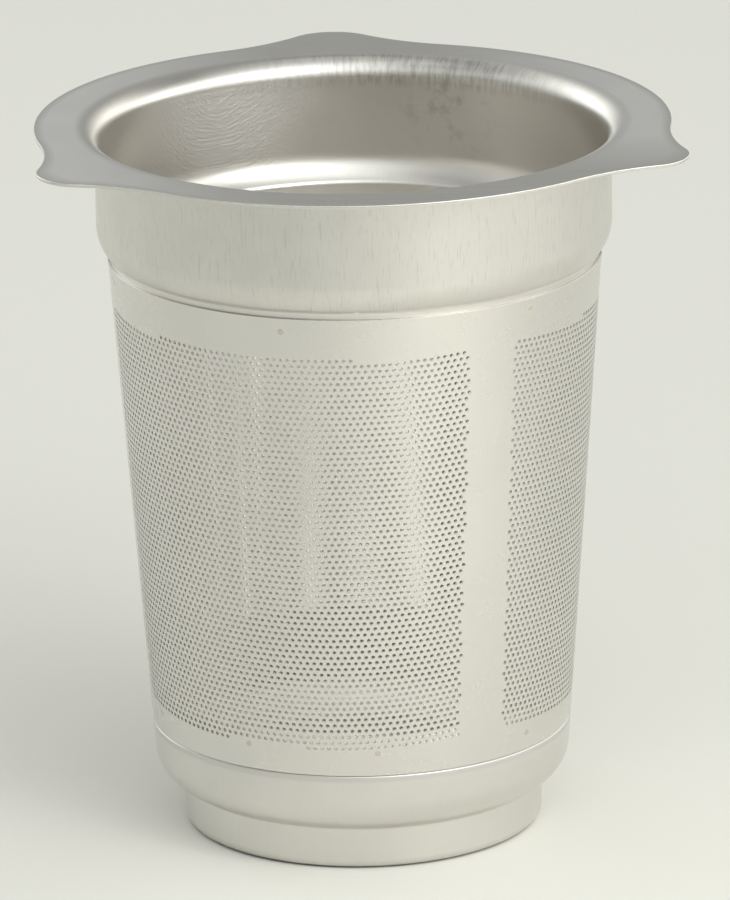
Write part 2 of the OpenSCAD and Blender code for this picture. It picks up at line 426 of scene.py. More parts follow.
first_row = slant(FIRST_ROW_Z)
row_count = int((slant(FIELD_Z[1]) - first_row) / ROW) + 1
row_number, column_number = np.meshgrid(
    np.arange(row_count), np.arange(-SIDE_COLUMNS, SIDE_COLUMNS + 1), indexing="ij"
)
hole_u = column_number * PITCH + (row_number % 2) * PITCH / 2 + LATTICE_SHIFT
hole_v = first_row + row_number * ROW
hole_s, hole_flat_turn = np.hypot(hole_u, hole_v), np.arctan2(hole_u, hole_v)
hole_z = APEX_Z + hole_s * COSINE
sector_half = math.radians(60.0)
from_strip = hole_s * np.sin(sector_half * SINE - np.abs(hole_flat_turn))
has_hole = (hole_z > FIELD_Z[0]) & (hole_z < FIELD_Z[1]) & (from_strip > STRIP_HALF)
centres = np.stack([hole_u[has_hole], hole_v[has_hole]], -1)
lattice_keys = np.stack(
    [2 * column_number[has_hole] + row_number[has_hole] % 2, 3 * row_number[has_hole]], -1
)
print(f"lattice: {row_count} rows, {len(centres)} holes in one field")

# %% [markdown]
# Round each hole goes one six-sided cell of the lattice. Neighbouring cells share their
# corners, because every corner sits at whole numbers of half pitches and thirds of a row.
# The plain sheet round the field is filled by a Delaunay triangulation, with the field's
# ragged edge as fixed lines, over points spaced about 2 mm apart.

# %% Cells round the holes
RIM_STEPS = 12
KEY_WIDTH, KEY_COLUMN, KEY_ROW = 1000, 500, 4
corner_steps = np.array([[1, 1], [0, 2], [-1, 1], [-1, -1], [0, -2], [1, -1]])
corner_keys = lattice_keys[:, None] + corner_steps
key_numbers = (corner_keys[..., 1] + KEY_ROW) * KEY_WIDTH + corner_keys[..., 0] + KEY_COLUMN
unique_keys, corner_of_cell = np.unique(key_numbers, return_inverse=True)
corner_of_cell = corner_of_cell.reshape(-1, 6)
corner_points = np.stack(
    [
        (unique_keys % KEY_WIDTH - KEY_COLUMN) * PITCH / 2 + LATTICE_SHIFT,
        first_row + (unique_keys // KEY_WIDTH - KEY_ROW) * ROW / 3,
    ],
    -1,
)
rim_turn = np.radians(np.arange(RIM_STEPS) * 360.0 / RIM_STEPS)
rim_points = (
    centres[:, None] + HOLE_R * np.stack([np.cos(rim_turn), np.sin(rim_turn)], -1)
).reshape(-1, 2)
rim_of_cell = len(corner_points) + np.arange(len(rim_points)).reshape(-1, RIM_STEPS)
side = np.arange(6)
corner_a, corner_b = corner_of_cell, corner_of_cell[:, (side + 1) % 6]
rim_a, rim_mid, rim_b = (rim_of_cell[:, (2 * side + step) % RIM_STEPS] for step in (1, 2, 3))
cell_faces = np.stack(
    [
        np.stack([corner_a, corner_b, rim_mid], -1),
        np.stack([corner_a, rim_mid, rim_a], -1),
        np.stack([corner_b, rim_b, rim_mid], -1),
    ],
    2,
).reshape(-1, 3)
cell_is_left = np.repeat(centres[:, 0] < 0, len(cell_faces) // len(centres))


def to_sheet(flat):
    """Flat sheet to (turn, slant): the azimuth is the flat angle over the sine of the tilt."""
    return np.stack(
        [np.arctan2(flat[:, 0], flat[:, 1]) / SINE, np.hypot(flat[:, 0], flat[:, 1])], -1
    )


def edges_used_once(faces):
    """The directed edges of triangles whose undirected edge belongs to one triangle only."""
    edges = np.stack([faces, np.roll(faces, -1, axis=1)], -1).reshape(-1, 2)
    low, high = edges.min(1).astype(np.int64), edges.max(1).astype(np.int64)
    key = low * (int(high.max()) + 1) + high
    _, place, uses = np.unique(key, return_inverse=True, return_counts=True)
    return edges[uses[place] == 1]


field_edge = edges_used_once(cell_faces)
field_edge = field_edge[(field_edge < len(corner_points)).all(1)]
print(len(cell_faces), "triangles round the holes,", len(field_edge), "edges on their border")

# %% Plain sheet round the field
SPACING = 2.0
MIDDLE_R = 33.0
slant_low, slant_high = slant(WALL_FOOT[1]), slant(WALL_TOP[1])
turns = np.linspace(-sector_half, sector_half, int(2 * sector_half * MIDDLE_R / SPACING) + 1)
slants = np.linspace(slant_low, slant_high, int((slant_high - slant_low) / SPACING) + 1)
grid_turn, grid_slant = (v.ravel() for v in np.meshgrid(turns, slants, indexing="ij"))
plain_sheet = np.stack([grid_turn, grid_slant], -1)
axis_turns = np.radians([0.0, 60.0, 120.0])
cell_axes = np.stack([np.cos(axis_turns), np.sin(axis_turns)])


def cell_distance(sheet):
    """How far each point of the sheet is from the nearest hole: the greatest of the distances along
    the lattice's three axes, so that a whole cell of the lattice has its border at half a pitch."""
    flat_turn = sheet[:, 0] * SINE
    flat = sheet[:, 1:] * np.stack([np.sin(flat_turn), np.cos(flat_turn)], -1)
    nearest = np.full(len(flat), 1e9)
    for some in np.array_split(centres, 16):
        away = np.abs((flat[:, None] - some) @ cell_axes).max(-1)
        nearest = np.minimum(nearest, away.min(1))
    return nearest


CLEAR_OF_HOLES = 1.1 * PITCH
plain_sheet = plain_sheet[cell_distance(plain_sheet) > CLEAR_OF_HOLES]

# %% Net of triangles over the plain sheet
corner_sheet = to_sheet(corner_points)
border = np.unique(field_edge)
net_points = np.vstack([corner_sheet[border], plain_sheet]) * [MIDDLE_R, 1.0]
net_edges = np.searchsorted(border, field_edge).tolist()
made, _, made_faces, from_points, _, _ = delaunay_2d_cdt(
    net_points.tolist(), net_edges, [], 0, 1e-6
)
made, made_faces = np.array(made), np.array(made_faces)
source = np.array(from_points)[:, 0]
middle = made[made_faces].mean(1) / [MIDDLE_R, 1.0]
in_field = (source[made_faces] < len(border)).all(1) & (cell_distance(middle) < PITCH / 2)
made_faces, middle = made_faces[~in_field], middle[~in_field]
backwards = facing_of(np.pad(made, ((0, 0), (0, 1))), made_faces)[:, 2] < 0
made_faces[backwards] = made_faces[backwards][:, ::-1]

flat_points = np.vstack([corner_points, rim_points])
sheet_points = np.vstack([to_sheet(flat_points), plain_sheet])
number_of = np.concatenate([border, len(flat_points) + np.arange(len(plain_sheet))])
plain_faces = number_of[source[made_faces]]
plain_is_left = middle[:, 0] < 0
print(len(plain_faces), "triangles of plain sheet,", len(made) - len(net_points), "points added")

# %% Roll the sheet and give it thickness


def rolled(sheet, depth, turn_by):
    """Sheet to space, with s the slant: radius s sin(tilt) - depth cos(tilt), height above the apex
    s cos(tilt) + depth sin(tilt), azimuth turned by turn_by degrees. Gives points and normals."""
    azimuth = sheet[:, 0] + math.radians(turn_by)
    radius = sheet[:, 1] * SINE - depth * COSINE
    height = APEX_Z + sheet[:, 1] * COSINE + depth * SINE
    out = around(azimuth)
    return radius[:, None] * out + height[:, None] * UP, COSINE * out - SINE * UP


def wall_piece(name, faces, turn_by):
    """Both faces of the sheet, and a strip across its thickness along every edge used only once:
    the rims of the holes, the upper and lower edge, and the joint to the next piece."""
    used, faces = renumbered(faces)
    sheet = sheet_points[used]
    outer, out = rolled(sheet, 0.0, turn_by)
    inner, _ = rolled(sheet, SHEET_T, turn_by)
    count = len(used)
    rim = edges_used_once(faces)
    a, b = rim[:, 0], rim[:, 1]
    across = np.concatenate(
        [np.stack([b, a, a + count], -1), np.stack([b, a + count, b + count], -1)]
    )
    points = np.vstack([outer, inner])
    all_faces = np.vstack([faces, faces[:, ::-1] + count, across])
    normals = np.vstack([out[faces], -out[faces[:, ::-1]], flat_normals(points, across)])
    grain = GRAIN_R * around(sheet[:, 0] + math.radians(turn_by)) + UP * sheet[:, 1:]
    perforated = used < len(flat_points)
    inner_face = np.stack([~perforated, perforated, np.zeros(count)], -1)
    inside = np.vstack([np.zeros((count, 3)), inner_face])
    return write_mesh(name, points, all_faces, normals, np.vstack([grain, grain]), inside)


wall_pieces = []
for number, azimuth in enumerate(FIELD_AZIMUTHS, 1):
    for half_name, of_cells, of_plain in (
        ("left", cell_is_left, plain_is_left),
        ("right", ~cell_is_left, ~plain_is_left),
    ):
        faces = np.vstack([cell_faces[of_cells], plain_faces[of_plain]])
        wall_pieces.append(wall_piece(f"wall_field_{number}_{half_name}", faces, azimuth))
print("wall pieces:", [len(p.data.polygons) for p in wall_pieces], "triangles each")

# %% [markdown]
# ## Steel
#
# All of it is the same stainless steel, but each piece was worked in its own way, so each
# gets its own finish. Every piece carries a vector called grain: the first two numbers run
# round the axis and the third runs down the profile. A noise that is fine across the grain
# and long along it gives lines that never end in a seam. Where the profile bends, the same
# third number says which part of the collar a point lies on, so the flange can keep the
# straight lines of the rolled sheet while the lip shows the strokes of the drawing tool.


# %% Node helpers
def node(tree, kind, **settings):
    """A node of that kind with its settings and the values of its inputs."""
    made_node = tree.nodes.new(kind)
    for key, value in settings.items():
        if key in made_node.inputs:
            made_node.inputs[key].default_value = value
        else:
            setattr(made_node, key, value)
    return made_node


def noise_along(tree, source_socket, scale, size=1.0, detail=3.0, rough=0.5):
    """Noise read through a Mapping node, so that it can be stretched along one direction."""
    mapping = node(tree, "ShaderNodeMapping", Scale=scale)
    tree.links.new(source_socket, mapping.inputs["Vector"])
    noise = node(tree, "ShaderNodeTexNoise", Scale=size, Detail=detail, Roughness=rough)
    tree.links.new(mapping.outputs["Vector"], noise.inputs["Vector"])
    return noise.outputs["Fac"]


def spread(tree, value_socket, low, high, to_low=0.0, to_high=1.0):
    """A range of a value carried to another range, and held at its ends."""
    ranged = node(tree, "ShaderNodeMapRange")
    limits = {"From Min": low, "From Max": high, "To Min": to_low, "To Max": to_high}
    for key, value in limits.items():
        ranged.inputs[key].default_value = value
    tree.links.new(value_socket, ranged.inputs["Value"])
    return ranged.outputs["Result"]


def combine(tree, operation, first, *others):
    """Values joined one after the other by one operation, each a socket or a plain number."""
    for other in others:
        step = node(tree, "ShaderNodeMath", operation=operation)
        for place, value in enumerate((first, other)):
            if isinstance(value, (int, float)):
                step.inputs[place].default_value = value
            else:
                tree.links.new(value, step.inputs[place])
        first = step.outputs["Value"]
    return first


def times(tree, *values):
    """The product of several values."""
    return combine(tree, "MULTIPLY", *values)


def plus(tree, *values):
    """The sum of several values."""
    return combine(tree, "ADD", *values)


def between(tree, value_socket, start, end, soft):
    """1 from start to end and 0 elsewhere, with a ramp of width soft inside each end."""
    rising = spread(tree, value_socket, start, start + soft)
    falling = spread(tree, value_socket, end - soft, end, 1.0, 0.0)
    return times(tree, rising, falling)


def parts_of(tree, vector_socket):
    """The X, Y and Z of a vector, as three sockets."""
    parts = node(tree, "ShaderNodeSeparateXYZ")
    tree.links.new(vector_socket, parts.inputs["Vector"])
    return parts.outputs["X"], parts.outputs["Y"], parts.outputs["Z"]


def distance_from(tree, place_socket, centre):
    """The distance in metres from a point that is given in mm."""
    distance = node(tree, "ShaderNodeVectorMath", operation="DISTANCE")
    tree.links.new(place_socket, distance.inputs[0])
    distance.inputs[1].default_value = tuple(v * MM for v in centre)
    return distance.outputs["Value"]


def near(tree, place_socket, centre, inner, outer):
    """1 within the inner distance of a point in mm and 0 beyond the outer one."""
    distance = distance_from(tree, place_socket, centre)
    return spread(tree, distance, inner * MM, outer * MM, 1.0, 0.0)


def mixed(tree, factor, first, second):
    """first where the factor is 0, second where it is 1; colours as sockets or plain triples."""
    mix = node(tree, "ShaderNodeMix", data_type="RGBA")
    tree.links.new(factor, mix.inputs["Factor"])
    for key, value in (("A", first), ("B", second)):
        if isinstance(value, tuple):
            mix.inputs[key].default_value = (*value, 1.0)
        else:
            tree.links.new(value, mix.inputs[key])
    return mix.outputs["Result"]


def start_steel(name):
    """A metal, its node tree, its grain and its place on the object, ready for its marks."""
    material = bpy.data.materials.new(name)
    material.use_nodes = True
    tree = material.node_tree
    tree.nodes["Principled BSDF"].inputs["Metallic"].default_value = 1.0
    grain = node(tree, "ShaderNodeAttribute", attribute_name="grain").outputs["Vector"]
    place = node(tree, "ShaderNodeTexCoord").outputs["Object"]
    return material, tree, grain, place


def end_steel(tree, colour, roughness, height, depth):
    """Join the colour, the roughness and, unless its depth in metres is 0, a relief to the shader."""
    shader = tree.nodes["Principled BSDF"]
    tree.links.new(colour, shader.inputs["Base Color"])
    tree.links.new(roughness, shader.inputs["Roughness"])
    if depth > 0.0:
        bump = node(tree, "ShaderNodeBump", Strength=1.0, Distance=depth)
        tree.links.new(height, bump.inputs["Height"])
        tree.links.new(bump.outputs["Normal"], shader.inputs["Normal"])


# %% [markdown]
# The collar has the most to show. Its profile length is measured from the outer edge of
# the flange, so the lengths at which the lip, the mouth and the shoulder begin are known
# from the profile's own bends. Each mark is a share from 0 to 1: a place where it may
# show and, for most of them, a noise that gives its pattern. The marks then go over the
# steel's own tone one after the other, and some add to the relief or the roughness.

# %% Collar places
STEEL = (0.7, 0.688, 0.65)
run = path_length(collar_profile)
last = np.cumsum([len(arc) for arc in collar_bends.values()]) - 1
spans = {
    name: (float(run[end - len(arc) + 1]), float(run[end]))
    for (name, arc), end in zip(collar_bends.items(), last)
}
lip_from, mouth_from = spans["upper edge"][1], spans["lip"][1]
shoulder_from, shoulder_to = spans["shoulder"]
outside_from, edge_from = spans["outer hollow"][0], spans["lower edge"][0]

collar_steel, tree, grain, place = start_steel("collar_steel")
_, _, down = parts_of(tree, grain)
side_way, depth_way, height = parts_of(tree, place)
on_flange = between(tree, down, 0.0, lip_from + 7.0, 1.5)
on_lip = between(tree, down, lip_from + 6.2, mouth_from + 1.6, 1.0)
on_mouth = between(tree, down, mouth_from - 0.5, shoulder_from + 1.5, 1.0)
on_shoulder = between(tree, down, shoulder_from + 2.5, shoulder_to + 1.0, 0.5)
on_skirt = between(tree, down, shoulder_to + 0.5, outside_from, 0.5)
on_outside = between(tree, down, outside_from, edge_from, 0.5)
print(f"collar lengths: lip {lip_from:.1f}, mouth {mouth_from:.1f}, outside {outside_from:.1f}")

# %% [markdown]
# Five noises carry most of the marks: the clouds of rolled sheet, fine drawing lines, the
# straight lines that the flange kept, the strokes of the tool over the lip, and wide faint
# streaks down the outside. Inside on the left is a patch of scratches that run in arcs
# round one point, so their noise reads the distance from that point, a little bent.
# Inside on the right are a few dark smudges.

# %% Collar patterns
cloud = noise_along(tree, place, (1, 1, 1), 160.0, detail=5.0, rough=0.65)
drawn = noise_along(tree, grain, (4.0, 4.0, 0.3), detail=4.0, rough=0.6)
sheet_lines = noise_along(tree, place, (90.0, 1100.0, 300.0), detail=5.0, rough=0.7)
strokes = noise_along(tree, grain, (1.7, 1.7, 0.3), detail=4.0, rough=0.7)
streaks = noise_along(tree, grain, (4.5, 4.5, 0.35), detail=3.0, rough=0.6)
streak = times(tree, spread(tree, streaks, 0.56, 0.72), on_outside)

SWIRL_R, SWIRL_Z, SWIRL_AZIMUTH = 36.4, 102.0, math.radians(212)
SWIRL_SCALE = 2000.0
swirl_middle = (SWIRL_R * math.sin(SWIRL_AZIMUTH), -SWIRL_R * math.cos(SWIRL_AZIMUTH), SWIRL_Z)
bent = times(tree, noise_along(tree, place, (1, 1, 1), 90.0, detail=2.0), 0.004)
swirl_arc = plus(tree, distance_from(tree, place, swirl_middle), bent)
swirl_place = node(tree, "ShaderNodeCombineXYZ")
tree.links.new(times(tree, swirl_arc, SWIRL_SCALE), swirl_place.inputs["X"])
tree.links.new(down, swirl_place.inputs["Y"])
arcs = noise_along(tree, swirl_place.outputs["Vector"], (1.0, 1.2, 1.0), detail=3.0, rough=0.7)
in_swirl = near(tree, place, swirl_middle, 12.0, 22.0)
swirl = times(tree, spread(tree, arcs, 0.35, 0.65), in_swirl, on_mouth)
scratched = times(tree, near(tree, place, swirl_middle, 8.0, 18.0), on_mouth)

SMUDGES_AT = (14.0, 33.6, 97.0)
specks = noise_along(tree, place, (1, 1, 1), 420.0, detail=4.0, rough=0.6)
in_smudges = near(tree, place, SMUDGES_AT, 2.0, 9.0)
smudge = times(tree, spread(tree, specks, 0.5, 0.68), in_smudges, on_mouth)

relief = plus(
    tree,
    times(tree, sheet_lines, on_flange),
    times(tree, on_lip, 3.0, strokes),
    times(tree, drawn, 0.5),
    times(tree, cloud, 1.2),
    times(tree, swirl, 2.0),
    times(tree, streak, -0.5),
    times(tree, on_shoulder, 2.0, strokes),
)

# %% [markdown]
# Some tones are painted where light alone didn't give them. Painted light makes the flange
# lighter towards its sides, except in front on the right. Painted shade makes the inside of
# the mouth darker than the outside. The tool strokes over the lip are darkened at the back,
# from the middle to the right, as painted shade in the lip's highlight, and a painted
# highlight makes the cut edge of the flange bright on the right and in patches elsewhere.
# The crease above the wall is a painted light line, with a thin painted dark line of shade
# under it where the collar dips behind the wall's edge.

# %% Collar steel
aside = combine(tree, "ABSOLUTE", side_way, 0.0)
front_right = times(
    tree, spread(tree, side_way, 0.0, 0.01), spread(tree, depth_way, -0.03, -0.01, 1.0, 0.0)
)
# painted light: the flange is lighter towards its sides, much less so in front on the right
painted_light_at_sides = times(
    tree,
    spread(tree, aside, 0.012, 0.04),
    on_flange,
    spread(tree, front_right, 0.0, 1.0, 1.0, 0.1),
)
# tool strokes on the lip, darkened only at the back from the middle to the right: painted shade in
# the lip's highlight
strokes_and_shade = times(
    tree,
    spread(tree, strokes, 0.44, 0.62),
    on_lip,
    spread(tree, depth_way, 0.018, 0.034),
    spread(tree, side_way, -0.02, 0.004),
)
# painted highlight on the cut edge of the flange: bright on the right, in patches elsewhere
edge_glint_share = combine(
    tree, "MAXIMUM", spread(tree, side_way, 0.0, 0.02), spread(tree, strokes, 0.5, 0.6)
)
edge_glint = times(tree, spread(tree, down, 0.0, 0.12, 1.0, 0.0), edge_glint_share)
# painted light: a light line along the crease above the wall
CREASE_HALF, CREASE_SOFT = 0.7, 0.4
crease = [(crease_z + side * CREASE_HALF) * MM for side in (-1, 1)]
crease_highlight = times(tree, between(tree, height, *crease, CREASE_SOFT * MM), on_outside)
# painted shade: a thin dark line where the collar dips behind the wall's upper edge
DIP_BELOW, DIP_ABOVE, DIP_SOFT = 0.6, 0.16, 0.04
dip = ((WALL_TOP[1] - DIP_BELOW) * MM, (WALL_TOP[1] + DIP_ABOVE) * MM)
gap_shade_line = times(tree, between(tree, height, *dip, DIP_SOFT * MM), on_outside)

tone = mixed(tree, spread(tree, cloud, 0.3, 0.7), STEEL, tuple(0.95 * v for v in STEEL))
line_share = times(tree, spread(tree, sheet_lines, 0.35, 0.65), on_flange)
for share, mark_tone in (
    (line_share, tuple(0.9 * v for v in STEEL)),
    (painted_light_at_sides, (0.95, 0.945, 0.92)),
    # painted shade: the inside of the mouth darker than the outside
    (on_mouth, (0.63, 0.605, 0.565)),
    (times(tree, scratched, 0.5), (0.75, 0.75, 0.74)),
    (times(tree, strokes_and_shade, 0.48), (0.3, 0.29, 0.27)),
    (on_skirt, (0.72, 0.7, 0.66)),
    (times(tree, streak, 0.42), (0.44, 0.42, 0.38)),
    (times(tree, smudge, 0.5), (0.3, 0.28, 0.25)),
    (edge_glint, (0.92, 0.91, 0.88)),
    (crease_highlight, (0.97, 0.96, 0.93)),
    (gap_shade_line, (0.12, 0.11, 0.09)),
):
    tone = mixed(tree, share, tone, mark_tone)
roughness = plus(
    tree,
    spread(tree, cloud, 0.3, 0.7, 0.3, 0.36),
    times(tree, smudge, 0.15),
    times(tree, scratched, 0.1),
    times(tree, crease_highlight, 0.3),
)
COLLAR_RELIEF = 0.000012
end_steel(tree, tone, roughness, relief, COLLAR_RELIEF)
collar.data.materials.append(collar_steel)
print("collar steel:", len(tree.nodes), "nodes")

# %% [markdown]
# The wall and the cup are plainer. The wall keeps the even, slightly clouded face of cold
# rolled sheet. In the photograph its inner face shows only through the holes, so its two
# tones are guesses from how bright the holes look: pale, a painted light, and dull where the
# sheet is perforated, and a darker grey, a painted shade, where it is plain. The cup has
# faint lines down its profile from the drawing, a duller ring under the wall, and a dark
# line of painted contact shade at its very foot.


# %% Wall, cup and weld steel
def plain_steel(name, light, dark, smooth, rough, scale, share, depth, zones=(), inside=None):
    """light and dark are the two tones, smooth and rough the ends of the roughness. Lines of that
    scale take that share of the tone, clouds the rest, and the lines are depth metres deep.
    A zone is a stretch of height in mm, its soft border, its tone and its added roughness. inside
    holds the painted-shade tone of a sheet's plain inner face, the painted-light tone of its
    perforated inner face, and the roughness that the perforated one adds."""
    material, tree, grain, place = start_steel(name)
    lines = noise_along(tree, grain, scale, detail=4.0, rough=0.6)
    cloud = noise_along(tree, place, (1, 1, 1), 70.0, detail=4.0, rough=0.6)
    worn = plus(
        tree,
        spread(tree, lines, 0.3, 0.7, 0.0, share),
        spread(tree, cloud, 0.35, 0.7, 0.0, 1.0 - share),
    )
    tone = mixed(tree, worn, light, dark)
    roughness = spread(tree, worn, 0.0, 1.0, smooth, rough)
    if inside is not None:
        plain_shade_tone, perforated_light_tone, rims_rougher = inside
        inner_face = node(tree, "ShaderNodeAttribute", attribute_name="inside").outputs["Vector"]
        is_plain, is_perforated, _ = parts_of(tree, inner_face)
        # painted shade on the plain inner face of the sheet, painted light on the perforated one
        tone = mixed(tree, is_plain, tone, plain_shade_tone)
        tone = mixed(tree, is_perforated, tone, perforated_light_tone)
        roughness = plus(tree, roughness, times(tree, is_perforated, rims_rougher))
    _, _, height = parts_of(tree, place)
    for start, end, soft, zone_tone, rougher in zones:
        in_zone = between(tree, height, start * MM, end * MM, soft * MM)
        tone = mixed(tree, in_zone, tone, zone_tone)
        roughness = plus(tree, roughness, times(tree, in_zone, rougher))
    end_steel(tree, tone, roughness, lines, depth)
    return material


SHEET_TONE = (0.71, 0.698, 0.665)
# painted shade on the plain inner face, painted light on the perforated one, and its added roughness
WALL_INSIDE = ((0.36, 0.35, 0.33), (0.95, 0.94, 0.91), 0.3)
CUP_ZONES = (
    # painted shade: a dark line of contact shade at the very foot of the cup
    (-1.0, 0.45, 0.2, (0.2, 0.2, 0.205), 0.0),
    (band_top_z - 1.2, band_top_z + 0.3, 0.4, (0.63, 0.62, 0.6), 0.15),
)
wall_steel = plain_steel(
    "wall_steel", SHEET_TONE, (0.69, 0.678, 0.645), 0.26, 0.29,
    scale=(2.0, 2.0, 0.1), share=0.0, depth=0.0, inside=WALL_INSIDE,
)
cup_steel = plain_steel(
    "cup_steel", SHEET_TONE, (0.67, 0.658, 0.625), 0.28, 0.34,
    scale=(4.0, 4.0, 0.12), share=0.3, depth=0.000001, zones=CUP_ZONES,
)
weld_steel = plain_steel(
    "weld_steel", (0.66, 0.63, 0.56), (0.54, 0.5, 0.42), 0.32, 0.45,
    scale=(4.0, 4.0, 4.0), share=0.5, depth=0.000004,
)
base_cup.data.materials.append(cup_steel)
for piece in wall_pieces:
    piece.data.materials.append(wall_steel)
print("steels:", [m.name for m in (collar_steel, wall_steel, cup_steel, weld_steel)])

# %% [markdown]
# ## Camera
#
# The photograph was taken from over a metre away with a long lens, a little from above.
# The camera's place and turn were worked out from the ellipses of the rims and the edges
# of the wall. It is placed by a yaw, a pitch and a roll, and its principal point stays in
# the middle of the picture, so no shift is needed.

# %% Set up the camera
FRAME_W, FRAME_H = 730, 900
LONG_SIDE = max(FRAME_W, FRAME_H)
SENSOR = 36.0
FOCAL_PIXELS = 9009.0
CAMERA_AT = Vector((0.0, -1.24323, 0.43427))
YAW, PITCH_DOWN, ROLL = 0.000826, 0.296141, -0.015642

ahead = Vector(
    (
        math.sin(YAW) * math.cos(PITCH_DOWN),
        math.cos(YAW) * math.cos(PITCH_DOWN),
        -math.sin(PITCH_DOWN),
    )
)
level = ahead.cross(Vector((0, 0, 1))).normalized()
upright = level.cross(ahead)
right = math.cos(ROLL) * level + math.sin(ROLL) * upright
top = -math.sin(ROLL) * level + math.cos(ROLL) * upright
camera_data = bpy.data.cameras.new("camera")
camera_data.sensor_fit = "AUTO"
camera_data.sensor_width = SENSOR
camera_data.lens = FOCAL_PIXELS / LONG_SIDE * SENSOR
camera_data.clip_start, camera_data.clip_end = 0.01, 20.0
camera = bpy.data.objects.new("camera", camera_data)
camera_turn = Matrix((right, top, -ahead)).transposed().to_4x4()
camera.matrix_world = Matrix.Translation(CAMERA_AT) @ camera_turn
bpy.context.scene.collection.objects.link(camera)
bpy.context.scene.camera = camera
bpy.context.view_layer.update()
print(f"camera: lens {camera_data.lens:.1f} mm at {[round(v, 4) for v in camera.location]}")


# %% From the picture to the surface and back
def ray_through(x, y):
    """Origin and direction of the ray through a point of the picture."""
    shift_x, shift_y = camera_data.shift_x, camera_data.shift_y
    across = x - FRAME_W / 2 + shift_x * LONG_SIDE
    upward = FRAME_H / 2 - y + shift_y * LONG_SIDE
    inward = -LONG_SIDE * camera_data.lens / camera_data.sensor_width
    direction = camera.matrix_world.to_3x3() @ Vector((across, upward, inward))
    return camera.matrix_world.translation.copy(), direction.normalized()


def picture_of(points):
    """Where points in metres fall in the picture: an array of x and y."""
    turn = np.array(camera.matrix_world.to_3x3())
    seen = (np.asarray(points) - np.array(camera.matrix_world.translation)) @ turn
    inward = LONG_SIDE * camera_data.lens / camera_data.sensor_width
    x = FRAME_W / 2 - camera_data.shift_x * LONG_SIDE - seen[..., 0] / seen[..., 2] * inward
    y = FRAME_H / 2 + camera_data.shift_y * LONG_SIDE + seen[..., 1] / seen[..., 2] * inward
    return np.stack([x, y], -1)


def surface_trees(pieces):
    """A search tree for the surface of each of several finished pieces."""
    graph = bpy.context.evaluated_depsgraph_get()
    return [BVHTree.FromObject(piece, graph) for piece in pieces]


def on_surface(trees, x, y):
    """The point where the ray through (x, y) first meets the surfaces, in mm; a miss takes the
    place of the surface nearest the ray, found from the ray's point beside the axis."""
    origin, direction = ray_through(x, y)
    hits = [tree.ray_cast(origin, direction) for tree in trees]
    hits = [(hit[3], hit[0]) for hit in hits if hit[0] is not None]
    if hits:
        return np.array(min(hits)[1]) / MM
    beside = origin + direction * (-origin).dot(direction)
    near = [tree.find_nearest(beside) for tree in trees]
    return np.array(min((hit[3], hit[0]) for hit in near)[1]) / MM


# %% [markdown]
# ## Spot welds
#
# Welds hold the wall to the collar at its upper edge and to the cup at its lower edge.
# Five of them show. Each of these is placed through its own point of the picture, and
# the others follow at the spacing that these give. A weld is a shallow cap, a little
# sunk in its middle where the electrode pressed, and browned by the heat.

# %% Image points
POINTS = {
    "left": (35.2, None),
    "right": (690.5, None),
    "top": (None, 31.2),
    "bottom": (None, 865.5),
    "ear_left": (37.5, 173.0),
    "ear_right": (690.5, 157.0),
    "ear_back": (336.0, 31.5),
    "wall_top_front": (345.0, 321.0),
    "field_corner_top": (468.1, 358.5),
    "field_corner_foot": (461.0, 735.0),
    "strip_right_top": (514.4, 342.5),
    "rim_weld_1": (280.5, 332.0),
    "rim_weld_2": (531.0, 307.7),
    "base_weld_1": (249.0, 743.5),
    "base_weld_2": (378.0, 753.5),
    "base_weld_3": (526.7, 732.0),
}

# %% Weld caps
WELD_R = 0.45
WELD_RISE = 0.03
WELD_SUNK = 0.01
WELD_STEPS = 24
ROOT_DEPTH = 0.2
wall_trees = surface_trees(wall_pieces)


def weld_caps(name, azimuth, height):
    """Caps on the wall at several azimuths and heights. Over a disc with radius q from 0 to 1 the
    cap stands out by rise (1 - q^6) (0.55 + 0.45 q^2), so it has a firm edge and a dished middle."""
    q = np.linspace(0.0, 1.0, 9)
    rise = WELD_RISE * (1 - q**6) * (0.55 + 0.45 * q**2) - WELD_SUNK
    profile = np.stack([q * WELD_R, rise], -1)
    profile = np.vstack([profile, [[WELD_R, -ROOT_DEPTH], [0.0, -ROOT_DEPTH]]])
    around_cap = np.radians(np.arange(WELD_STEPS) * 360.0 / WELD_STEPS)
    used, faces = renumbered(ring_faces(profile[:, 0], WELD_STEPS))
    local = np.stack(
        [
            profile[:, :1] * np.cos(around_cap),
            profile[:, :1] * np.sin(around_cap),
            np.broadcast_to(profile[:, 1:], (len(profile), WELD_STEPS)),
        ],
        -1,
    ).reshape(-1, 3)
    out = COSINE * around(azimuth) - SINE * UP
    side_way = along(azimuth)
    up_way = np.cross(out, side_way)
    base = wall_r(height)[:, None] * around(azimuth) + height[:, None] * UP
    axes = np.stack([side_way, up_way, out], 1)
    points = (base[:, None] + local @ axes)[:, used].reshape(-1, 3)
    all_faces = (faces + np.arange(len(azimuth))[:, None, None] * len(used)).reshape(-1, 3)
    flat = flat_normals(points, all_faces)
    middles = np.repeat(base - ROOT_DEPTH / 2 * out, len(faces), axis=0)
    if (flat[:, 0] * (points[all_faces].mean(1) - middles)).sum() < 0:
        all_faces, flat = all_faces[:, ::-1], -flat
    piece = write_mesh(name, points, all_faces, flat, points)
    piece.data.materials.append(weld_steel)
    return piece


def seen_welds(prefix):
    """Azimuth in radians and height of the welds that have a point of their own."""
    named = [name for name in sorted(POINTS) if name.startswith(prefix)]
    found = np.array([on_surface(wall_trees, *POINTS[name]) for name in named])
    return np.arctan2(found[:, 0], -found[:, 1]), found[:, 2]


